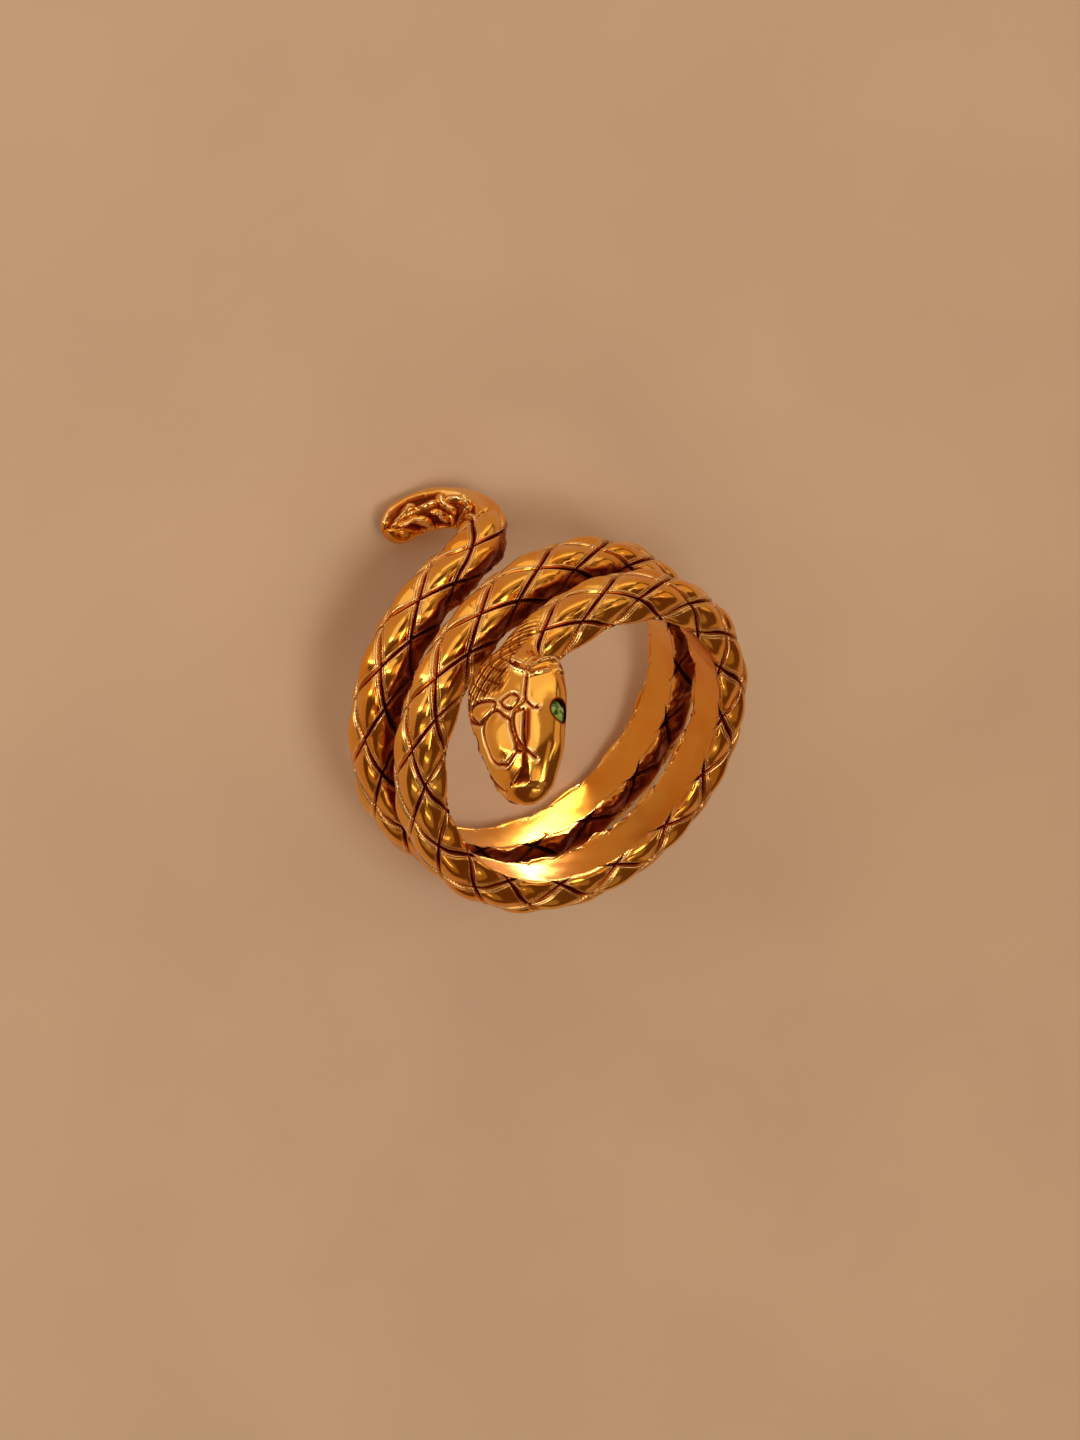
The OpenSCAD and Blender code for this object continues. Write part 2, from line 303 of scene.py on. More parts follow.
crown_point = skin(np.array([length / 2]), np.array([math.pi / 2]))[0]
print("the crown of the coils lies", round(float(np.hypot(*crown_point[:2])) / MM, 2), "mm from the axis")

# %% [markdown]
# ## A mesh that the scales fit
#
# The grooves cross the skin on two slants. If the mesh has as many steps from one side of a scale to
# the other along the snake as round it, every groove runs exactly through its corners and along the
# diagonals of its faces, and stays one sharp line at this size. An even grid with no such rule would
# leave the grooves ragged, or need ten times the faces. Four scales go round, so 24 steps to a scale
# give 96 corners, most of them where the skin shows and few on the flat inside. The head is smooth but
# finely engraved, so there each face is split in two, and the rings lie closer.

# %% Lay out the rings and the corners round them
scale_l = 3.8633 * MM
scale_start = 0.764 * MM
SCALE_TURN, FIRST_GROOVE = math.radians(90), math.radians(22.5)  # four scales go round
STEPS = 24
ring_step = scale_l / STEPS
corner_step = SCALE_TURN / STEPS
first_corner = FIRST_GROOVE - 19 * corner_step
SHOWN_CORNERS = 74  # at one step each, from under one side over the crown to under the other
INNER_CORNERS = 6  # spread over the flat inside
HEAD_STEP = 0.072 * MM
TIP_RINGS, NOSE_RINGS = 10, 14  # rings that close up towards each rounded end
hook_l = 8.5 * MM
head_zone = 9.6 * MM

shown = first_corner + corner_step * np.arange(SHOWN_CORNERS)
gap = 2 * math.pi - corner_step * (SHOWN_CORNERS - 1)
inner = shown[-1] + gap * np.arange(1, INNER_CORNERS + 1) / (INNER_CORNERS + 1)
body_turns = np.append(shown, inner)
around = len(body_turns)

tip_rings = scale_start * (np.arange(1, TIP_RINGS + 1) / TIP_RINGS) ** 2
last_body = int((length - head_zone - scale_start) / ring_step)
body_rings = scale_start + ring_step * np.arange(1, last_body + 1)
hook_rings = (body_rings - ring_step / 2)[body_rings < hook_l]
body_stations = np.sort(np.concatenate([tip_rings, hook_rings, body_rings]))

nose_rings = length - NOSE_L * (np.arange(NOSE_RINGS, 0, -1) / NOSE_RINGS) ** 2
head_rings = np.arange(body_stations[-1] + HEAD_STEP, nose_rings[0] - HEAD_STEP / 2, HEAD_STEP)
head_stations = np.append(head_rings, nose_rings)
print(len(body_stations), "rings of", around, "corners on the body")


# %% Space the head's corners evenly
def even_turns(count):
    """Corners spaced evenly over the widest section of the head, most of them on its top."""
    fine = np.linspace(first_corner, first_corner + 2 * math.pi, 4000)
    points = np.stack([head_w / 2 * bulge(np.cos(fine)), head_h / 2 * bulge(np.sin(fine))], -1)
    weight = np.where((np.sin(fine) > 0)[1:], 1.0, 0.5)
    far = np.append(0, np.cumsum(np.linalg.norm(np.diff(points, axis=0), axis=1) * weight))
    return np.interp(np.arange(count) / count * far[-1], far, fine)


next_turns = np.append(body_turns[1:], body_turns[0] + 2 * math.pi)
split_turns = np.stack([body_turns, (body_turns + next_turns) / 2], 1).ravel()
head_turns = even_turns(2 * around)
print(len(head_stations), "rings of", 2 * around, "corners on the head")

# %% Sweep the smooth skin
body_s, body_f = np.meshgrid(body_stations, body_turns, indexing="ij")
head_s, _ = np.meshgrid(head_stations, head_turns, indexing="ij")
head_f = blend(split_turns[None, :], head_turns[None, :], headness(head_s))
skin_s = np.concatenate([[0], body_s.ravel(), head_s.ravel(), [length]])
skin_f = np.concatenate([[0], body_f.ravel(), head_f.ravel(), [0]])
skin_points = skin(skin_s, skin_f)
print(len(skin_points), "points on the smooth skin")


# %% Join the rings with triangles
def ring_faces(start, rings, count):
    """Triangles between rings of corners, cut along the diagonal that a groove follows."""
    i, j = np.meshgrid(np.arange(rings - 1), np.arange(count), indexing="ij")
    a, b = start + i * count + j, start + i * count + (j + 1) % count
    c, d = b + count, a + count
    v = (skin_s[a] + skin_s[d]) / 2
    u = (skin_f[a] + skin_f[a] + corner_step) / 2
    groove_count = (v - scale_start) / scale_l + (u - FIRST_GROOVE) / SCALE_TURN
    across_scale = (groove_count + 0.5) % 1 - 0.5
    rising = np.abs(across_scale) < 0.4 / STEPS
    one = np.where(rising[..., None], np.stack([a, b, d], -1), np.stack([a, b, c], -1))
    two = np.where(rising[..., None], np.stack([b, c, d], -1), np.stack([a, c, d], -1))
    return np.concatenate([one.reshape(-1, 3), two.reshape(-1, 3)])


def seam_faces(start, next_start, count):
    """Triangles from a ring to one with twice its corners."""
    j = np.arange(count)
    a, b = start + j, start + (j + 1) % count
    c, d, e = (next_start + (2 * j + k) % (2 * count) for k in range(3))
    return np.concatenate([np.stack(t, -1) for t in ((a, d, c), (a, b, d), (b, e, d))])


def cap_faces(tip, start, count, outwards):
    """Triangles from a ring to the point that closes it."""
    j = np.arange(count)
    ring = [start + j, start + (j + 1) % count]
    return np.stack([np.full(count, tip)] + (ring[::-1] if outwards else ring), -1)


head_start = 1 + body_s.size
last_point = len(skin_s) - 1
faces = np.concatenate([
    cap_faces(0, 1, around, outwards=True),
    ring_faces(1, len(body_stations), around),
    seam_faces(head_start - around, head_start, around),
    ring_faces(head_start, len(head_stations), 2 * around),
    cap_faces(last_point, last_point - 2 * around, 2 * around, outwards=False),
])
print(len(faces), "triangles in the smooth skin")

# %% [markdown]
# ## The head, as the graver left it
#
# The head is a smooth form with lines cut into it: an oval plate and a narrow one on the brow, small
# plates behind them, a crest, a shallow channel beside the narrow plate, the jaw, and a raised fold
# where the neck begins. On the nose the cuts open into a dark wedge. Sculpting would give all this by
# hand, but not the same way twice. Here each line is a few points on the head's surface, so much
# across it and so far back from the snout in millimetres, with a smooth curve through them.

# %% The plates and lines on the head
PLATES = {  # closed outlines, and how far each plate rises
    "brow": ([
        (-1.50, 4.72), (-1.68, 4.30), (-1.70, 3.75), (-1.60, 3.20), (-1.42, 2.62), (-1.10, 2.28),
        (-0.74, 2.16), (-0.44, 2.05), (-0.10, 2.24), (0.26, 2.58), (0.24, 3.10), (0.12, 3.62),
        (0.05, 4.22), (-0.28, 4.56), (-0.62, 4.96), (-1.05, 4.98),
    ], 0.13),
    "cheek": ([
        (-1.97, 4.80), (-1.52, 4.82), (-0.86, 5.10), (-0.74, 5.50), (-1.35, 5.80), (-2.05, 5.95),
        (-2.40, 5.60),
    ], 0.08),
    "crown": ([
        (-0.38, 5.37), (0.33, 5.54), (0.72, 5.18), (0.48, 4.88), (0.14, 4.76), (-0.22, 5.05),
    ], 0.08),
    "middle": ([
        (0.42, 4.52), (0.95, 4.48), (0.94, 4.00), (0.84, 3.30), (0.76, 2.66), (0.54, 2.90),
        (0.38, 3.25), (0.30, 3.70), (0.30, 4.15),
    ], 0.05),
}
CUTS = {  # open lines, and how strongly each is cut
    "branch": ([(0.24, 3.10), (0.49, 2.72), (0.85, 2.46), (1.12, 2.21), (1.34, 1.96)], 1.0),
    "joint": ([(0.26, 2.58), (0.50, 2.47), (0.78, 2.44)], 1.0),
    "crest": ([(1.31, 6.38), (1.19, 5.62), (1.13, 5.01), (1.45, 4.52), (1.77, 4.39)], 1.0),
    "crest's left arm": ([(1.12, 5.00), (0.98, 4.86), (0.50, 4.68)], 0.8),
    "cheek's edge": ([(-2.31, 6.66), (-2.50, 6.06), (-2.58, 5.46), (-2.08, 4.90), (-1.72, 4.70)], 1.0),
    "jaw": ([(-2.74, 5.16), (-2.62, 4.10), (-2.35, 3.00), (-1.81, 1.76), (-1.09, 0.92)], 0.8),
    "nose": ([(-0.42, 1.03), (0.13, 0.93), (0.55, 0.83), (1.03, 0.66), (1.31, 0.58)], 0.32),
}
CHANNEL = [(1.20, 4.36), (1.13, 3.71), (1.02, 3.08), (0.84, 2.59), (0.78, 2.20), (0.72, 1.60)]
NOSE_WEDGE = [
    (0.62, 2.40), (0.46, 1.74), (0.12, 1.43), (-0.44, 1.07), (0.76, 0.88), (0.90, 1.66),
    (0.86, 2.40),
]
FOLDS = [  # thin ridges of the fold where the neck begins
    [(0.28, 8.20), (0.30, 7.45), (0.49, 7.06), (0.90, 6.74), (1.28, 6.50)],
    [(1.28, 6.50), (1.40, 6.86), (1.86, 7.04), (2.29, 7.32), (2.56, 7.36), (2.74, 7.10), (2.80, 6.60)],
    [(1.28, 6.43), (1.54, 6.34), (1.95, 6.39), (2.33, 6.51)],
]
print(len(PLATES), "plates,", len(CUTS), "open cuts and", len(FOLDS), "folds on the head")


# %% Draw a line and measure from it
def drawn(points, closed=False, steps=6):
    """A smooth line through points on the head, given in millimetres."""
    points = np.array(points) * MM
    return through(np.vstack([points, points[:1]]) if closed else points, steps)


def distance_from(places, line):
    """How far each place lies from a line."""
    nearest = np.full(places.shape[:-1], np.inf)
    for a, b in zip(line[:-1], line[1:]):
        share = np.clip((places - a) @ (b - a) / max(1e-18, (b - a) @ (b - a)), 0, 1)
        nearest = np.minimum(nearest, np.linalg.norm(places - a - share[..., None] * (b - a), axis=-1))
    return nearest


def inside(places, outline):
    """Which places lie inside a closed outline."""
    crossed = np.zeros(places.shape[:-1], bool)
    x, y = places[..., 0], places[..., 1]
    for (ax, ay), (bx, by) in zip(outline[:-1], outline[1:]):
        spans = (ay > y) != (by > y)
        crossed ^= spans & (x < ax + (y - ay) * (bx - ax) / (by - ay if by != ay else 1))
    return crossed


def hump(d, width):
    """1 on a line, falling softly to 0 past the width."""
    return np.exp(-((d / width) ** 2))


print("the channel is", round(lengths_along(drawn(CHANNEL))[-1] / MM, 1), "mm long")

# %% [markdown]
# Every point on the head's top then asks how far the nearest line is, and moves by what that says. A
# graver throws up a lip beside its cut, and the metal between two cuts looks cushioned, so a point
# sinks on the line, rises just beside it, and rises slowly towards the middle of a plate. The lips get
# a painted highlight, and the dark metal stays in the cuts: both are kept for the finish.

# %% Measure from the lines on the head
CHANNEL_WIDTH, FOLD_CUT_AT = 0.15 * MM, 0.22 * MM

back = length - skin_s
width, _, _ = section_size(skin_s)
across = width / 2 * bulge(np.cos(skin_f))
on_top = (np.sin(skin_f) > 0) & (back < head_l)
places = np.stack([across, back], -1)[on_top]
outlines = {name: drawn(points, closed=True) for name, (points, _) in PLATES.items()}
cuts = list(outlines.values()) + [drawn(points) for points, _ in CUTS.values()]
strengths = np.array([1.0] * len(outlines) + [strength for _, strength in CUTS.values()])
to_cuts = np.array([distance_from(places, line) for line in cuts])
nearest_cut, strength = to_cuts.min(axis=0), strengths[to_cuts.argmin(axis=0)]
folds = [drawn(points) for points in FOLDS]
nearest_fold = np.min([distance_from(places, line) for line in folds], axis=0)
behind_fold = np.min([distance_from(places, line + [0, FOLD_CUT_AT]) for line in folds], axis=0)
channel = hump(distance_from(places, drawn(CHANNEL)), CHANNEL_WIDTH)
print(len(places), "points on the head's top ask for the nearest of", len(cuts), "cuts")

# %% Carve the head
CUT_DEPTH, CUT_WIDTH = 0.12 * MM, 0.070 * MM
LIP_RISE, LIP_AT, LIP_WIDTH = 0.035 * MM, 0.155 * MM, 0.055 * MM
PLATE_ROUND = 0.50 * MM
CHANNEL_DEPTH = 0.07 * MM
FOLD_RISE, FOLD_WIDTH = 0.17 * MM, 0.10 * MM
FOLD_CUT_DEPTH = 0.6 * CUT_DEPTH

carving = -CUT_DEPTH * hump(nearest_cut, CUT_WIDTH) + LIP_RISE * hump(nearest_cut - LIP_AT, LIP_WIDTH)
carving *= strength
for name, (_, rise) in PLATES.items():
    cushion = 1 - hump(distance_from(places, outlines[name]), PLATE_ROUND)
    carving += rise * MM * np.where(inside(places, outlines[name]), cushion, 0)
carving -= CHANNEL_DEPTH * channel
carving += FOLD_RISE * hump(nearest_fold, FOLD_WIDTH) - FOLD_CUT_DEPTH * hump(behind_fold, CUT_WIDTH)
print("the deepest cut on the head goes", round(-carving.min() / MM, 2), "mm down")

# %% Sink the dark wedge on the nose
WEDGE_DEPTH, WEDGE_EDGE = 0.14 * MM, 0.035 * MM
WEDGE_STARTS, WEDGE_RUN = 2.10 * MM, 1.10 * MM
wedge = drawn(NOSE_WEDGE, closed=True, steps=1)
in_wedge = inside(places, wedge) * (1 - hump(distance_from(places, wedge), WEDGE_EDGE))
towards_snout = ease((WEDGE_STARTS - places[:, 1]) / WEDGE_RUN)
carving -= WEDGE_DEPTH * towards_snout * in_wedge
print("the wedge takes in", int(inside(places, wedge).sum()), "points")

# %% Keep the cuts, the dark metal, the painted dark reflection and the lips' painted highlight
STAIN_WIDTH = 0.9 * CUT_WIDTH
FOLD_STAIN, CHANNEL_DARK_REFLECTION = 0.7, 0.85

carve = np.zeros_like(skin_s)
stain_and_shade = np.zeros_like(skin_s)
painted_highlight = np.zeros_like(skin_s)
carve[on_top] = carving
in_cuts = np.maximum(strength * hump(nearest_cut, STAIN_WIDTH), FOLD_STAIN * hump(behind_fold, CUT_WIDTH))
# The channel and the nose's wedge are painted dark: a painted dark reflection, kept with the cuts' dark
# metal
stain_and_shade[on_top] = np.maximum(in_cuts, np.maximum(CHANNEL_DARK_REFLECTION * channel, in_wedge))
# Painted highlight: a paler gold on the lips beside the cuts and on the fold's ridges
painted_highlight[on_top] = np.maximum(strength * hump(nearest_cut - LIP_AT, LIP_WIDTH), hump(nearest_fold, FOLD_WIDTH))
print(len(cuts), "lines cut into the head and", len(folds), "ridges raised")

# %% [markdown]
# ## The tail's hook
#
# The hook ends flat: a smooth raised rim on its outer side, and inside it a sunken face with folds
# that cross it like narrow leaves. A noise would make it lumpy all over, and the real folds have a
# direction, so each fold's crest is drawn as a line on the hook and the metal rises to it like a roof.
# Between the folds the metal looks crumpled, as foil does. Crumpled metal is flat facets that meet in
# sharp folds: each point belongs to the nearest of a few scattered seeds, and every seed tilts its own
# little plane.

# %% The lines on the hook
HOOK_RIM = [  # along the snake in mm, and degrees round it
    (0.35, 88), (0.96, 72), (1.64, 48), (2.76, 48), (3.32, 62), (3.94, 78), (4.72, 92),
    (5.90, 100), (6.98, 98),
]
HOOK_FACE = [  # along in mm, then the middle and half of the sunken face in degrees
    (0.2, 120, 0), (0.7, 120, 30), (1.2, 124, 48), (2.0, 132, 68), (3.0, 142, 64), (4.0, 152, 58),
    (5.0, 155, 50), (6.0, 154, 42), (7.0, 142, 30), (8.0, 122, 14), (8.6, 112, 0),
]
LEAVES = [  # crests of the folds in the face
    [(0.76, 129), (1.38, 110), (1.92, 96)], [(1.74, 124), (2.34, 124), (3.12, 117)],
    [(3.64, 104), (3.88, 136), (4.56, 166)], [(4.10, 108), (4.80, 114), (5.66, 120)],
    [(1.10, 150), (1.60, 150)], [(1.90, 156), (2.32, 175), (2.80, 200)],
    [(3.14, 158), (3.58, 173), (3.86, 184)], [(4.30, 186), (4.60, 208)],
    [(5.30, 192), (5.90, 162), (6.20, 132)], [(6.60, 160), (7.20, 140), (7.90, 116)],
]
hook_r = tail_w / 2


def on_hook(s, turn):
    """Places on the hook, unrolled: distance along it and round it."""
    return np.stack([s, turn * hook_r], -1)


def hook_line(points):
    """A smooth line on the hook, from rows of millimetres along it and degrees round it."""
    along, turn = np.array(points, float).T
    return through(on_hook(along * MM, np.radians(turn)), 6)


print(len(LEAVES), "folds cross the hook's face")

# %% Measure from the lines on the hook
FACE_DEPTH, LEAF_RISE, LEAF_WIDTH = 0.23 * MM, 0.27 * MM, 0.33 * MM
FACE_EDGE = 14  # degrees over which the face sinks
RIM_RISE, RIM_WIDTH = 0.10 * MM, 0.22 * MM
TAIL_PART = 9 * MM  # what is looked at, a little more than the hook

on_tail = skin_s < TAIL_PART
tail_places = on_hook(skin_s, skin_f)[on_tail]
millimetres, degrees = skin_s[on_tail] / MM, np.degrees(skin_f[on_tail])
marks, middles, halves = np.array(HOOK_FACE, float).T
off_middle = np.abs(degrees - np.interp(millimetres, marks, middles))
face = 1 - ease((off_middle - np.interp(millimetres, marks, halves) + FACE_EDGE / 2) / FACE_EDGE)
to_leaves = np.min([distance_from(tail_places, hook_line(crest)) for crest in LEAVES], axis=0)
leaf = np.maximum(0, 1 - to_leaves / LEAF_WIDTH)
rim = hump(distance_from(tail_places, hook_line(HOOK_RIM)), RIM_WIDTH)
print("the face takes in", int((face > 0.5).sum()), "points of the hook")

# %% Crumple the metal between the folds
CRUMPLE_TILT, CRUMPLE_SEEDS, CRUMPLE_MOST = 0.15, 24, 0.10 * MM
FACE_ENDS, FACE_FROM, FACE_TO = 8.6 * MM, 60, 185  # along the snake, and degrees round it
FACET_EDGE = 0.07 * MM
FACET_CREASE_DARKENING, LOW_GROUND_DARKENING, RIM_HIGHLIGHT = 0.35, 0.85, 0.6

random = np.random.default_rng(11)
seed_along = random.uniform(0, FACE_ENDS, CRUMPLE_SEEDS)
seed_turn = np.radians(random.uniform(FACE_FROM, FACE_TO, CRUMPLE_SEEDS))
seeds = on_hook(seed_along, seed_turn)
tilts = random.uniform(-CRUMPLE_TILT, CRUMPLE_TILT, (CRUMPLE_SEEDS, 2))
to_seeds = tail_places[:, None, :] - seeds[None, :, :]
order = np.argsort(np.linalg.norm(to_seeds, axis=-1), axis=1)[:, :2]
rows = np.arange(len(order))
first, second = to_seeds[rows, order[:, 0]], to_seeds[rows, order[:, 1]]
facet = (first * tilts[order[:, 0]]).sum(-1)
fold = np.linalg.norm(second, axis=-1) - np.linalg.norm(first, axis=-1)
crumple = LEAF_RISE * leaf - FACE_DEPTH + np.clip(facet, -CRUMPLE_MOST, CRUMPLE_MOST)
carve[on_tail] += crumple * face * (1 - rim) + RIM_RISE * rim
# The face is made darker in the creases between facets and in the low ground between the folds
between_facets, between_leaves = hump(fold, FACET_EDGE), ease(1 - 2.4 * leaf)
darkened = np.maximum(FACET_CREASE_DARKENING * between_facets, LOW_GROUND_DARKENING * between_leaves)
stain_and_shade[on_tail] += face * (1 - rim) * darkened
# Painted highlight on the hook's rim and along the crests of the folds
painted_highlight[on_tail] = np.maximum(RIM_HIGHLIGHT * rim, face * ease(2.5 * leaf - 1.2))
print(CRUMPLE_SEEDS, "facets between the folds")

# %% [markdown]
# ## Where the scales are
#
# Full scales run from the hook's bend to the fold behind the head. On one side of the neck they give
# way to much finer ones, crossed by streaks from a file, each with a line of painted shade. Where two
# coils face each other no tool could reach: the casting is still lumpy, with painted shade on it.
# Vertex groups painted by hand could say where each of these lies, but they are all rules of distance
# and angle, so each is one number for every point, kept as an attribute. The tree of geometry nodes in
# the next step reads some of them, the gold the others.

# %% Strength of the large and the fine scales
FINE_FROM, FINE_TO, FINE_SLANT = 74, 200, 4  # degrees round the neck, and degrees of slant per mm
FINE_NEAR, FINE_FAR = 5.8 * MM, 11.2 * MM  # back from the snout
STREAK_WIDTH = 0.26 * MM
SCALES_FROM, SCALES_GROW = 6.6 * MM, 1.8 * MM  # from the tip of the tail
FOLD_ON_TOP, FOLD_BELOW = 6.9 * MM, 9.0 * MM  # where they end, back from the snout
RELIEF_DOWN_TO = 0.74  # the thin ridges stop short of the underside: a sine of the turn

turn_degrees = np.degrees(skin_f)
fine = ease((turn_degrees - FINE_FROM - (9 * MM - back) / MM * FINE_SLANT) / 12)
fine *= ease((FINE_TO - turn_degrees) / 14)
fine *= ease((back - FINE_NEAR) / (0.5 * MM)) * ease((FINE_FAR - back) / (1.2 * MM))
streak = (0.72 * across - 0.69 * back) / STREAK_WIDTH
fold_back = blend(FOLD_ON_TOP, FOLD_BELOW, ease(-np.sin(skin_f) * 2))
scaly = ease((skin_s - SCALES_FROM) / SCALES_GROW) * ease((back - fold_back) / (0.5 * MM)) * (1 - fine)
engraved = scaly * ease((np.sin(skin_f) + RELIEF_DOWN_TO) / 0.12)
for name, cover in {"full": scaly, "fine": fine}.items():
    print(name, "scales cover", round(100 * float(cover.mean())), "% of the points")

# %% Where the coils hide each other
SIDE_FROM, SIDE_GROWS = 0.25, 0.5  # how far to the side a neighbour hides it, as a cosine of the turn
SHOWN_FROM, SHOWN_GROWS = 0.05, 0.65  # how high it comes into sight again, as a sine of the turn
HEAD_FREE, TAIL_FREE, COIL_FADE = 6 * MM, 2 * MM, 4 * MM  # lengths at the ends that hide nothing

round_once = 2 * math.pi * track_r
under_next = ease((length - round_once - HEAD_FREE - skin_s) / COIL_FADE)
over_last = ease((skin_s - round_once - TAIL_FREE) / COIL_FADE)
side_up = ease((np.cos(skin_f) - SIDE_FROM) / SIDE_GROWS) * under_next
side_down = ease((-np.cos(skin_f) - SIDE_FROM) / SIDE_GROWS) * over_last
crevice = np.maximum(side_up, side_down) * (1 - ease((np.sin(skin_f) - SHOWN_FROM) / SHOWN_GROWS))
print("between the coils lie", round(100 * float((crevice > 0.5).mean())), "% of the points")


# %% Make the mesh and give its points their numbers
def new_mesh(name, points, triangles):
    """A mesh object from arrays of points and triangles."""
    mesh = bpy.data.meshes.new(name)
    mesh.from_pydata(points.tolist(), [], triangles.tolist())
    made = bpy.data.objects.new(name, mesh)
    bpy.context.scene.collection.objects.link(made)
    return made


def set_attribute(mesh, name, values):
    """Keeps one number for each point of a mesh."""
    layer = mesh.attributes.new(name, "FLOAT", "POINT")
    layer.data.foreach_set("value", values.astype(np.float32))


snake = new_mesh("snake_body", skin_points, faces)
for name, values in {
    "along": skin_s, "turn": skin_f, "scaly": scaly, "engraved": engraved, "fine": fine,
    "streak": streak, "crevice": crevice, "carve": carve, "stain_and_shade": stain_and_shade, "painted_highlight": painted_highlight,
}.items():
    set_attribute(snake.data, name, values)
print(len(snake.data.vertices), "points carry", len(snake.data.attributes), "attributes")

# %% [markdown]
# ## Sums of sockets
#
# Both the scales and the finishes are worked out by node trees. Written node by node such a tree is
# hard to read, and drawn by hand in the editor it can't be made again, so one small class wraps a
# socket: sums and products of wires add Math nodes, and node() adds any other kind, with its settings
# first and then the values or wires of its sockets.

# %% A wire that can be used in sums
class Wire:
    """A socket in a node tree that can be used in sums."""

    def __init__(self, tree, socket=None):
        self.tree = tree
        self.socket = socket

    def node(self, kind, settings=None, sockets=None, output=0):
        """Adds a node: its settings first, then the values or wires of its sockets."""
        made = self.tree.nodes.new(kind)
        for name, value in (settings or {}).items():
            setattr(made, name, value)
        for name, value in (sockets or {}).items():
            if isinstance(value, Wire):
                self.tree.links.new(value.socket, made.inputs[name])
            else:
                made.inputs[name].default_value = value
        return Wire(self.tree, made.outputs[output] if len(made.outputs) else None)

    def out(self, name):
        """Another output of the same node."""
        return Wire(self.tree, self.socket.node.outputs[name])

    def math(self, operation, *others):
        """A Math node on this value and others."""
        return self.node("ShaderNodeMath", {"operation": operation}, dict(enumerate((self, *others))))

    def step(self, low, high):
        """A soft step from 0 to 1 as this value goes from low to high."""
        sockets = {"Value": self, "From Min": low, "From Max": high, "To Min": 0.0, "To Max": 1.0}
        return self.node("ShaderNodeMapRange", {"interpolation_type": "SMOOTHSTEP"}, sockets)

    def __add__(self, other):
        return self.math("ADD", other)

    def __sub__(self, other):
        return self.math("SUBTRACT", other)

    def __rsub__(self, other):
        return self * -1.0 + other

    def __mul__(self, other):
        return self.math("MULTIPLY", other)

    def __truediv__(self, other):
        return self.math("DIVIDE", other)

    def __pow__(self, other):
        return self.math("POWER", other)

    __radd__, __rmul__ = __add__, __mul__


print("wires can be added, subtracted, multiplied, divided and raised to a power")

# %% [markdown]
# ## Cutting the scales
#
# Two sets of grooves cross on the body and leave a cushioned diamond in each cell. One scale could be
# modelled and set out along the coil, but the joints between copies would show in a polish like this.
# A rule makes every scale instead: count scale lengths along the snake and quarters round it, and the
# grooves lie where the sum or the difference of the two is whole. A tree of geometry nodes follows
# that rule, with a named input for each size.

# %% Name the sizes of the scales
SCALE_SIZES = {  # the tree's inputs; a share is of one scale, and fine scales are counted in a large one
    "Scale length": scale_l,
    "Scale start": scale_start,
    "Groove share": 0.050,
    "Groove depth": 0.17 * MM,
    "Cushion": 0.25 * MM,
    "Roundness": 2.1,
    "Shoulder": 0.15 * MM,
    "Lip": 0.035 * MM,
    "Fine scales": 4.6,
    "Fine depth": 0.05 * MM,
    "Waviness": 0.03 * MM,
    "Lumps": 0.8 * MM,
    "Finger radius": finger_r,
}
tree = bpy.data.node_groups.new("cut scales", "GeometryNodeTree")
tree.interface.new_socket("Geometry", in_out="INPUT", socket_type="NodeSocketGeometry")
for name in SCALE_SIZES:
    tree.interface.new_socket(name, in_out="INPUT", socket_type="NodeSocketFloat")
tree.interface.new_socket("Seed", in_out="INPUT", socket_type="NodeSocketFloat")
tree.interface.new_socket("Finish", in_out="INPUT", socket_type="NodeSocketMaterial")
tree.interface.new_socket("Geometry", in_out="OUTPUT", socket_type="NodeSocketGeometry")
given = Wire(tree).node("NodeGroupInput")
print("the tree has", len(SCALE_SIZES), "named sizes")


# %% Measure how far the grooves are
def stored(name):
    """A number that each point of the mesh carries."""
    return given.node("GeometryNodeInputNamedAttribute", {"data_type": "FLOAT"}, {"Name": name}, "Attribute")


def groove_distances(along, turn, start, length, scales=1.0):
    """How far the nearest groove of each slant lies, as a share of a scale."""
    v = (along - start) / length * scales
    u = (turn - FIRST_GROOVE) / SCALE_TURN * scales
    return (v + u).math("PINGPONG", 0.5), (v - u).math("PINGPONG", 0.5)


def pillow(steep, shallow, roundness):
    """1 in the middle of a scale, falling softly to 0 at its grooves."""
    return (1 - (1 - steep * 2.0) ** roundness) * (1 - (1 - shallow * 2.0) ** roundness)


LIP_FROM, LIP_TOP, LIP_TO = 0.04, 0.083, 0.14  # from the groove, as shares of a scale
FINE_GROOVE_TO = 0.22  # from the fine groove, as a share of a fine scale

rule = (stored("along"), stored("turn"), given.out("Scale start"), given.out("Scale length"))
steep, shallow = groove_distances(*rule)
large = steep.math("MINIMUM", shallow)
groove = (1 - large.step(0.0, given.out("Groove share"))) * stored("scaly")
cushion = pillow(steep, shallow, given.out("Roundness")) * stored("scaly")
lip = large.step(LIP_FROM, LIP_TOP) * (1 - large.step(LIP_TOP, LIP_TO)) * stored("scaly")
fine_steep, fine_shallow = groove_distances(*rule, scales=given.out("Fine scales"))
small = fine_steep.math("MINIMUM", fine_shallow)
fine_groove = (1 - small.step(0.0, FINE_GROOVE_TO)) * stored("fine")
print("with the grooves the tree has", len(tree.nodes), "nodes")

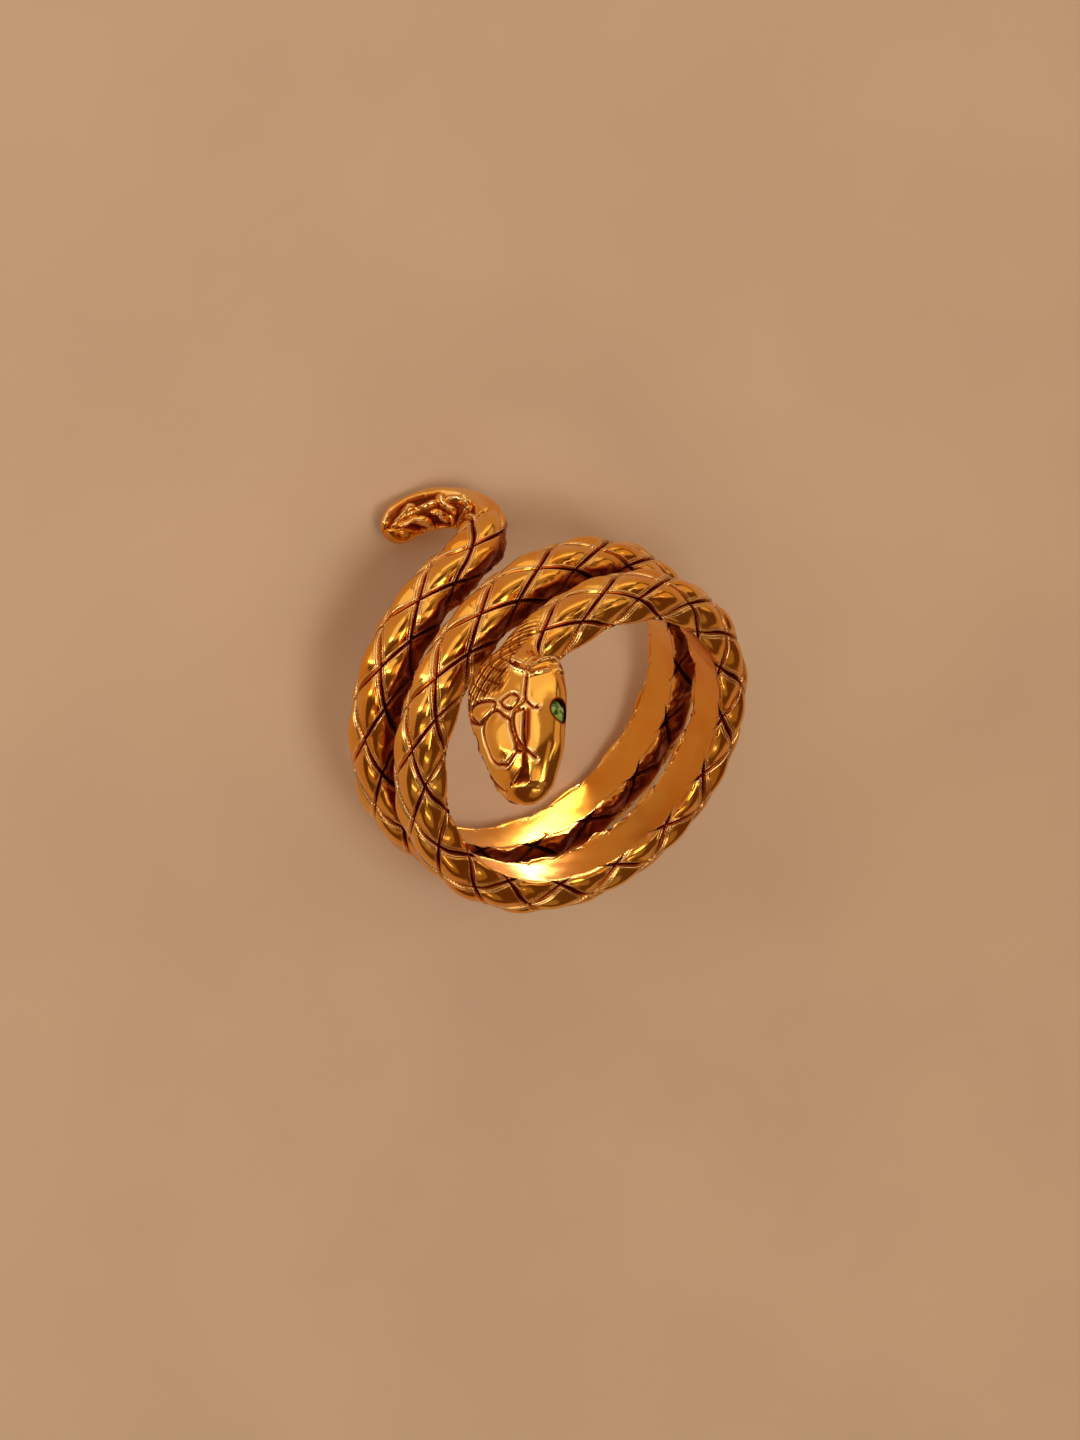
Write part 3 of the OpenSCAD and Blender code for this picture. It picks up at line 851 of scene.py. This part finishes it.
# %% Push each point in or out
WAVES_PER_M = 0.9 / MM
place = given.node("GeometryNodeInputPosition")
wave = given.node(
    "ShaderNodeTexNoise", {"noise_dimensions": "4D"},
    {"Vector": place, "W": given.out("Seed"), "Scale": WAVES_PER_M, "Detail": 1.5},
)
lump = given.node(
    "ShaderNodeTexNoise", {"noise_dimensions": "4D"},
    {"Vector": place, "W": given.out("Seed"), "Scale": WAVES_PER_M, "Detail": 2.0},
)
lift = (
    cushion * given.out("Cushion")
    - stored("scaly") * given.out("Shoulder")
    - groove * given.out("Groove depth")
    + lip * given.out("Lip")
    - fine_groove * given.out("Fine depth")
    + (wave - 0.5) * given.out("Waviness")
    + (lump - 0.5) * stored("crevice") * given.out("Lumps")
    + stored("carve")
)
normal = given.node("GeometryNodeInputNormal")
offset = given.node("ShaderNodeVectorMath", {"operation": "SCALE"}, {0: normal, "Scale": lift})
raised = given.node("GeometryNodeSetPosition", None, {"Geometry": given, "Offset": offset})
print("with the relief the tree has", len(tree.nodes), "nodes")

# %% [markdown]
# On the real ring the inside was bored and polished last, which left a smooth band with a scalloped
# edge where it meets the grooves. A Boolean with a cylinder would cut it, and leave long thin faces
# that shade badly. So the tree pushes whatever is inside the finger's bore back out to it, and the
# faces stay as they were. The points that were pushed are marked as the band.

# %% Bore the inside for the finger
def keep(geometry, name, value):
    """Stores a number on each point."""
    return given.node(
        "GeometryNodeStoreNamedAttribute",
        {"data_type": "FLOAT", "domain": "POINT"},
        {"Geometry": geometry, "Name": name, "Value": value},
    )


flat_place = given.node("ShaderNodeVectorMath", {"operation": "MULTIPLY"}, {0: place, 1: (1, 1, 0)})
from_axis = given.node("ShaderNodeVectorMath", {"operation": "LENGTH"}, {0: flat_place}, "Value")
short_by = (given.out("Finger radius") - from_axis).math("MAXIMUM", 0.0)
way_out = given.node("ShaderNodeVectorMath", {"operation": "NORMALIZE"}, {0: flat_place})
push = given.node("ShaderNodeVectorMath", {"operation": "SCALE"}, {0: way_out, "Scale": short_by})
banded = keep(raised, "band", short_by.math("GREATER_THAN", 0.001 * MM))
bored = given.node("GeometryNodeSetPosition", None, {"Geometry": banded, "Offset": push})
print("with the bore the tree has", len(tree.nodes), "nodes")

# %% Leave dark metal in the grooves, paint shade between the coils and close the tree
CREVICE_SHADE, CREVICE_SHADE_CLOUDS = 0.45, 0.6
FINE_STAIN, STAIN_POWER = 0.7, 2.5  # the power keeps the stain at the bottom of a groove

# Painted shade between the coils, in clouds that follow the lumps
crevice_shade = stored("crevice") * (CREVICE_SHADE + lump * CREVICE_SHADE_CLOUDS)
darkness = groove**STAIN_POWER + fine_groove * FINE_STAIN + stored("stain_and_shade") + crevice_shade
stained_and_shaded = keep(bored, "stain_and_shade", darkness.math("MINIMUM", 1.0) * (1 - stored("band")))
whole = given.node("GeometryNodeRealizeInstances", None, {"Geometry": stained_and_shaded})
finished = given.node("GeometryNodeSetMaterial", None, {"Geometry": whole, "Material": given.out("Finish")})
given.node("NodeGroupOutput", None, {"Geometry": finished})
print("the tree that cuts the scales has", len(tree.nodes), "nodes")

# %% [markdown]
# ## Warm gold
#
# Polished gold has no colour of its own but what it gives to reflections: bright ones turn pale
# yellow, dim ones deep amber. One metallic colour would give that much, and look like a new toy. What
# makes a cast ring read as real is the rest: grooves that the polishing wheel never reached are dark
# and rough, and the plate is a little redder near them. Painted light goes into the colour too: a
# paler gold on the ridges as painted highlight, and painted shade between the coils, along the neck's
# streaks and round the stones, with a painted dark reflection in the head's channel and wedge.

# %% Start a material
def material(name, settings):
    """A new material, its tree as a wire, and its main shader with these values in its sockets."""
    made = bpy.data.materials.new(name)
    made.use_nodes = True
    shader = made.node_tree.nodes["Principled BSDF"]
    for socket, value in settings.items():
        shader.inputs[socket].default_value = value
    return made, Wire(made.node_tree), shader


def feed(shader, socket, wire):
    """Links a wire to a socket of a shader."""
    wire.tree.links.new(wire.socket, shader.inputs[socket])


def mixed(wire, share, one, other):
    """A colour between two, by a share that may vary."""
    settings = {"data_type": "RGBA"}
    return wire.node("ShaderNodeMix", settings, {"Factor": share, "A": one, "B": other}, 2)


# %% Give the clean metal its colour
GOLD_BRIGHT = (0.95, 0.50, 0.09, 1)
GOLD_DEEP = (0.90, 0.38, 0.045, 1)
GOLD_HIGHLIGHT = (1.0, 0.77, 0.43, 1)
GOLD_RED = (0.50, 0.10, 0.012, 1)
GOLD_DARK = (0.14, 0.020, 0.003, 1)

gold, paint, shader = material("warm_gold", {"Metallic": 1.0})
where = paint.node("ShaderNodeTexCoord", output="Object")
cloud = paint.node("ShaderNodeTexNoise", None, {"Vector": where, "Scale": 0.35 / MM, "Detail": 2.0})
clean = mixed(paint, cloud.step(0.35, 0.7), GOLD_BRIGHT, GOLD_DEEP)
print("clean gold takes", len(gold.node_tree.nodes), "nodes")


# %% Read what the points of the skin carry
def carried(name):
    """A number that each point of the mesh carries, in the gold's tree."""
    return paint.node("ShaderNodeAttribute", {"attribute_name": name}, output="Fac")


stain_and_shade_here, highlight_here, engraved_here = carried("stain_and_shade"), carried("painted_highlight"), carried("engraved")
fine_here, streak_here, band_here = carried("fine"), carried("streak"), carried("band")
print("with what the points carry the gold has", len(gold.node_tree.nodes), "nodes")

# %% [markdown]
# A graver leaves a thin ridge of metal on each side of its cut, and along one of the two slants there
# is a second one. They are about a tenth of a millimetre wide, and the mesh's steps are wider. As real
# faces they would need many times the triangles, so they are relief in the gold, worked out by the same
# rule as the scales.

# %% Draw thin ridges beside the grooves
RIDGE_AT, SECOND_RIDGE_AT, RIDGE_HALF = 0.075, 0.15, 0.03  # from the groove, as shares of a scale
CUSHION_RELIEF, RIDGE_RELIEF = 0.10, 0.028  # mm
SECOND_SHARE, CUSHION_ROUND = 0.6, 2.2

steep, shallow = groove_distances(carried("along"), carried("turn"), scale_start, scale_l)


def thin_ridge(from_groove, at, crossing):
    """A thin round ridge beside a groove, broken where another groove crosses it."""
    across_ridge = (from_groove - at) / RIDGE_HALF
    return (1 - across_ridge**2.0).math("MAXIMUM", 0.0) * crossing.step(0.01, 0.06)


ridges = (
    thin_ridge(steep, RIDGE_AT, shallow)
    + thin_ridge(steep, SECOND_RIDGE_AT, shallow) * SECOND_SHARE
    + thin_ridge(shallow, RIDGE_AT, steep)
)
engraving = pillow(steep, shallow, CUSHION_ROUND) * CUSHION_RELIEF + ridges * RIDGE_RELIEF
print("a thin ridge is", round(2 * RIDGE_HALF * scale_l / MM, 2), "mm wide along the snake")

# %% Redden and darken the metal in the grooves and where shade is painted, and paint highlights on the ridges
HIGHLIGHT_SHARE, STREAK_SHADE = 0.7, 0.75

ridge = streak_here.math("PINGPONG", 0.5) * 2.0
# Painted shade: a dark line along each streak of the fine scales
dark_here = stain_and_shade_here + fine_here * (1 - ridge.step(0.0, 0.4)) * STREAK_SHADE
# Painted highlight: a paler gold on the thin ridges beside the grooves, on the head's lips and on the hook
highlighted = (ridges * engraved_here * HIGHLIGHT_SHARE + highlight_here * HIGHLIGHT_SHARE).math("MINIMUM", 1.0)
gold_with_highlights = mixed(paint, highlighted, clean, GOLD_HIGHLIGHT)
reddened = mixed(paint, dark_here.step(0.1, 0.6), gold_with_highlights, GOLD_RED)
feed(shader, "Base Color", mixed(paint, dark_here.step(0.5, 0.95), reddened, GOLD_DARK))
print("with its dark and worn places the gold has", len(gold.node_tree.nodes), "nodes")

# %% [markdown]
# A perfect mirror looks like chrome. What a polishing wheel leaves is a shine that varies a little from
# place to place, hairlines all one way, and on the inner band a slow swell that bends the highlights.
# The dark metal in the grooves is rough.

# %% Break up the shine
POLISH, SPECK_DULLS, STAIN_DULLS, BAND_DULLS = 0.11, 0.07, 0.30, 0.08  # roughness, and what adds to it
HAIRLINE_RELIEF, BAND_RELIEF, STREAK_RELIEF = 0.001, 0.08, 0.09  # mm

speck = paint.node("ShaderNodeTexNoise", None, {"Vector": where, "Scale": 9 / MM, "Detail": 3.0})
dulled = POLISH + speck * SPECK_DULLS + stain_and_shade_here * STAIN_DULLS + band_here * BAND_DULLS
feed(shader, "Roughness", dulled)
drawn_out = {"Vector": where, "Rotation": (0.4, 0.7, 0.2), "Scale": (1, 9, 1)}
stretched = paint.node("ShaderNodeMapping", None, drawn_out)
hairline = paint.node("ShaderNodeTexNoise", None, {"Vector": stretched, "Scale": 2.2 / MM, "Detail": 3.0})
swell = paint.node("ShaderNodeTexNoise", None, {"Vector": where, "Scale": 0.55 / MM, "Detail": 1.0})
height = (
    (hairline * 0.6 + speck * 0.4) * HAIRLINE_RELIEF
    + swell * band_here * BAND_RELIEF
    + ridge * fine_here * STREAK_RELIEF
    + engraving * engraved_here
)
relief = paint.node("ShaderNodeBump", None, {"Strength": 1.0, "Distance": MM, "Height": height})
feed(shader, "Normal", relief)
print("the whole gold has", len(gold.node_tree.nodes), "nodes")

# %% [markdown]
# The snake is still a smooth sweep that carries its numbers. A modifier runs the tree on it. It could
# stay a modifier, but the sockets are drilled next into one plain mesh, so
# the cut shape takes the mesh's place, and only then does the snake move to where the ring lies.

# %% Cut the scales and turn the result into a plain mesh
cutting = snake.modifiers.new("cut scales", "NODES")
cutting.node_group = tree
inputs = {item.name: item.identifier for item in tree.interface.items_tree if item.in_out == "INPUT"}
for name, value in {**SCALE_SIZES, "Seed": 3.0, "Finish": gold}.items():
    cutting[inputs[name]] = value


def plain_mesh(piece):
    """Puts the result of a piece's modifiers into its mesh and takes the modifiers off."""
    result = bpy.data.meshes.new_from_object(piece.evaluated_get(bpy.context.evaluated_depsgraph_get()))
    result.name = piece.name
    piece.modifiers.clear()
    piece.data = result
    return result


plain_mesh(snake)
snake.data.transform(placement)
print("the snake has", len(snake.data.polygons), "triangles")

# %% [markdown]
# ## The eyes
#
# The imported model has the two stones, each in a round socket. Their facets are right as they are, so
# only the finish is new. The skin here still needs the sockets. Pressing them into the mesh would give
# a rounded edge, and a setter's drill leaves a sharp one, so each is cut by a Boolean with one short
# cylinder that stands square to the skin.

# %% Find where an eye sits
EYE_BACK, EYE_ANGLE = 4.25 * MM, 6  # back from the snout, and degrees round the head


def socket_axis(degrees):
    """A point of the placed skin where an eye sits, and the way out from it."""
    s, f = length - EYE_BACK, math.radians(degrees)
    ds, df = 0.2 * MM, math.radians(2)
    at = skin(np.array([s, s + ds, s - ds, s, s]), np.array([f, f, f, f + df, f - df]))
    out = unit(np.cross(at[3] - at[4], at[1] - at[2]))
    return placement @ Vector(at[0]), (placement.to_3x3() @ Vector(out)).normalized()


for degrees in (EYE_ANGLE, 180 - EYE_ANGLE):
    print("an eye sits at", [round(x / MM, 2) for x in socket_axis(degrees)[0]], "mm")

# %% Drill the sockets
SOCKET_R, SOCKET_DEPTH, SOCKET_CLEAR = 0.65 * MM, 0.86 * MM, 1.0 * MM


def drill(piece, degrees):
    """Cuts one socket into a piece."""
    point, out = socket_axis(degrees)
    tall = SOCKET_DEPTH + SOCKET_CLEAR
    bpy.ops.mesh.primitive_cylinder_add(vertices=64, radius=SOCKET_R, depth=tall)
    cutter = bpy.context.object
    turn = out.to_track_quat("Z", "Y").to_matrix().to_4x4()
    cutter.data.transform(Matrix.Translation(point + out * (tall / 2 - SOCKET_DEPTH)) @ turn)
    cut = piece.modifiers.new("socket", "BOOLEAN")
    cut.operation, cut.object, cut.solver = "DIFFERENCE", cutter, "EXACT"
    plain_mesh(piece)
    bpy.data.objects.remove(cutter)
    return point


eye_points = [drill(snake, degrees) for degrees in (EYE_ANGLE, 180 - EYE_ANGLE)]
snake.data.materials.clear()
snake.data.materials.append(gold)
print("with its sockets the snake has", len(snake.data.polygons), "faces")

# %% Paint shadow on the metal round the stones
SHADE_GAP, SHADE_RING = 0.02 * MM, 0.20 * MM
places = np.zeros(len(snake.data.vertices) * 3, np.float32)
snake.data.vertices.foreach_get("co", places)
places = places.reshape(-1, 3)
stains_and_shade = np.zeros(len(places), np.float32)
snake.data.attributes["stain_and_shade"].data.foreach_get("value", stains_and_shade)
# Painted shadow: a dark ring on the skin round each socket
for point in eye_points:
    off = np.linalg.norm(places - np.array(point), axis=1)
    stains_and_shade = np.maximum(stains_and_shade, 1 - ease((off - SOCKET_R - SHADE_GAP) / SHADE_RING))
snake.data.attributes["stain_and_shade"].data.foreach_set("value", stains_and_shade)
print(int((stains_and_shade > 0.5).sum()), "points of the snake are dark")

# %% Smooth the snake, attach it to the root and hide the imported snake
SHARP_FROM = math.radians(62)
snake.data.polygons.foreach_set("use_smooth", np.ones(len(snake.data.polygons), bool))
snake.data.set_sharp_from_angle(angle=SHARP_FROM)
for name in ("scaly", "crevice", "carve"):
    snake.data.attributes.remove(snake.data.attributes[name])
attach(snake, "root")
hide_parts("snake")
print("the snake keeps", len(snake.data.attributes), "attributes")

# %% [markdown]
# A small cut stone is seen as two greens: deep where a facet sends the light away, pale where one sends
# it back. A clear glass would need a bright room below it to show that, and the socket is dark, so the
# glass is half clear and the two greens are in its colour, in soft patches about as large as a facet.

# %% Make the green stones
STONE_DEEP, STONE_PALE = (0.015, 0.17, 0.02, 1), (0.62, 0.98, 0.20, 1)
stone, glass, shader = material("green_stone", {
    "Roughness": 0.02, "IOR": 1.62, "Transmission Weight": 0.4, "Coat Weight": 0.3, "Coat Roughness": 0.02,
})
where = glass.node("ShaderNodeTexCoord", output="Object")
depth = glass.node("ShaderNodeTexNoise", None, {"Vector": where, "Scale": 2.2 / MM, "Detail": 1.0})
feed(shader, "Base Color", mixed(glass, depth.step(0.42, 0.58), STONE_DEEP, STONE_PALE))
for name in ("eye_left", "eye_right"):
    eye = frame["nodes"][name]
    eye.data.materials.clear()
    eye.data.materials.append(stone)
print("the stones have", len(stone.node_tree.nodes), "nodes")

# %% [markdown]
# ## The table and the light
#
# Gold shows what is round it, so most of its look comes from the table and the lit surfaces near it.
# The table is a pale, dull sheet that runs far past the picture's edge. A backdrop that curves up
# behind the ring would be seen from the side, but this camera looks down and sees only the table.

# %% Lay the table
FLOOR_HALF = 600 * MM
TABLE_DARK, TABLE_PALE = (0.80, 0.62, 0.46, 1), (0.85, 0.66, 0.49, 1)
GRAIN_PER_M, TABLE_DULL, GRAIN_DULLS = 60.0, 0.55, 0.1
floor_mesh = bpy.data.meshes.new("table")
corners = [(x * FLOOR_HALF, y * FLOOR_HALF, 0) for x, y in ((-1, -1), (1, -1), (1, 1), (-1, 1))]
floor_mesh.from_pydata(corners, [], [(0, 1, 2, 3)])
floor = bpy.data.objects.new("table", floor_mesh)
bpy.context.scene.collection.objects.link(floor)
table_finish, top, shader = material("pale_table", {"Specular IOR Level": 0.3})
where = top.node("ShaderNodeTexCoord", output="Object")
grain = top.node("ShaderNodeTexNoise", None, {"Vector": where, "Scale": GRAIN_PER_M, "Detail": 3.0})
feed(shader, "Base Color", mixed(top, grain.step(0.3, 0.7), TABLE_DARK, TABLE_PALE))
feed(shader, "Roughness", TABLE_DULL + grain * GRAIN_DULLS)
floor_mesh.materials.append(table_finish)
floor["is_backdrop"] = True
print("the table is", round(2 * FLOOR_HALF / MM), "mm wide")

# %% [markdown]
# A picture of a room wrapped round the scene would light the metal at once, but its windows seldom lie
# where a highlight is wanted. So each surface is an area light of its own, and its place is given as
# the camera sees it: to the right, up and back of the ring. What counts in a mirror is how bright a
# surface looks and not how much light it gives, so that is the number here, whatever the size.

# %% How a lit surface is made
def lit_surface(name, wide, high, brightness, colour, shape="RECTANGLE"):
    """An area light as bright all over as asked, with its width and height in millimetres."""
    area = wide * high * MM**2 * (math.pi / 4 if shape == "ELLIPSE" else 1)
    lamp_data = bpy.data.lights.new(name, "AREA")
    lamp_data.shape = shape
    lamp_data.size, lamp_data.size_y = wide * MM, high * MM
    lamp_data.energy = brightness * math.pi * area
    lamp_data.color = colour
    lamp = bpy.data.objects.new(name, lamp_data)
    bpy.context.scene.collection.objects.link(lamp)
    lamp.visible_camera = False
    return lamp


print("a surface of one square metre takes", round(math.pi, 2), "W to look as bright as white")

# %% [markdown]
# The key stands at the upper left, as the photograph's main light does, and gives the table its tone and
# the ring its shadow. Screens behind and beside the ring, and panels and fills towards the camera, are
# what the coils and the head mirror, each a little warmer than the key. Narrow strips draw bright lines
# along the scales, and one panel looks down the bore at the polished inner band.

# %% Set the lights
LIGHTS = {  # right, up and back of the ring as the camera sees it, width, height (mm), brightness, colour
    "key": ((-211, 147, 192), 300, 300, 0.88, (1.0, 0.95, 0.87)),
    "screen": ((50, 235, 200), 420, 190, 0.34, (1.0, 0.70, 0.42)),
    "back_screen": ((60, 290, 85), 420, 150, 0.88, (1.0, 0.86, 0.62)),
    "right_screen": ((300, 95, 35), 200, 200, 0.55, (1.0, 0.72, 0.44)),
    "side_panel": ((190, 75, 330), 140, 200, 0.38, (1.0, 0.70, 0.36)),
    "fill_left": ((-70, -40, 400), 120, 260, 0.75, (1.0, 0.74, 0.46)),
    "fill_middle": ((70, -60, 400), 60, 260, 0.5, (1.0, 0.72, 0.44)),
    "fill_right": ((200, -80, 340), 60, 260, 0.45, (1.0, 0.72, 0.44)),
    "low_panel": ((90, -290, 170), 440, 260, 0.20, (1.0, 0.72, 0.40)),
    "down_the_bore": ((150, -95, 320), 150, 150, 3.6, (1.0, 0.92, 0.80)),
    "left_strip": ((-212, 25, 125), 24, 180, 7.0, (1.0, 0.93, 0.80)),
    "right_strip": ((238, 28, 140), 24, 160, 1.8, (1.0, 0.88, 0.70)),
    "low_strip": ((40, -210, 150), 180, 30, 2.2, (1.0, 0.88, 0.70)),
}
for name, (place, wide, high, brightness, colour) in LIGHTS.items():
    lamp = lit_surface(name, wide, high, brightness, colour)
    lamp.location = seen_from_camera(*(x * MM for x in place))
    lamp.rotation_euler = (lamp.location - ring_middle).to_track_quat("Z", "Y").to_euler()
    print(name, "stands", round(lamp.location.z / MM), "mm above the table")

# %% [markdown]
# In the photograph the ring stands up and its inner band mirrors a bright surface in front of it. Lying
# down, the band mirrors the shaded table inside the ring and would go brown. A brighter table would
# lose the shadow, so a small soft light lies just above the table there, out of the camera's sight,
# and shines up at the band.

# %% Set a small light on the table inside the ring
GLOW_PLACE = (1.2 * MM, -5.4 * MM, 0.4 * MM)
GLOW_BACK = (0.35, 0.55, -0.75)  # the way that its unlit side faces
glow = lit_surface("inner_glow", 4.8, 1.5, 5.0, (1.0, 0.92, 0.78), "ELLIPSE")
glow.data.spread = math.radians(110)
glow.location = GLOW_PLACE
glow.rotation_euler = Vector(GLOW_BACK).to_track_quat("Z", "Y").to_euler()
print("the small light gives", round(glow.data.energy * 1e6), "microwatts")

# %% [markdown]
# Between the lit surfaces the gold mirrors the room. A black room would make it look cut out, and a
# grey one cold, so the room is dim and warm, which gives the metal its deep amber.

# %% Set the room and how light becomes colour
ROOM_COLOUR, ROOM_STRENGTH = (1.0, 0.43, 0.17, 1), 0.12
bpy.context.scene.view_settings.view_transform = "Standard"
world = bpy.data.worlds.new("room")
bpy.context.scene.world = world
world.use_nodes = True
background = world.node_tree.nodes["Background"]
background.inputs["Color"].default_value = ROOM_COLOUR
background.inputs["Strength"].default_value = ROOM_STRENGTH
print("the room's strength is", ROOM_STRENGTH)

# %% [markdown]
# ## Size
#
# Carving moves the skin by tenths of a millimetre, so the finished model is measured beside the imported
# one. The two boxes should agree closely, since the ring is posed and checked by the imported one.

# %% Measure the model and finish
visual_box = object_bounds()
sizes = {"cad": [list(corner) for corner in cad_box], "visual": [list(corner) for corner in visual_box]}
for name, (low, high) in sizes.items():
    print(name, "box, mm:", [round((b - a) / MM, 2) for a, b in zip(low, high)])
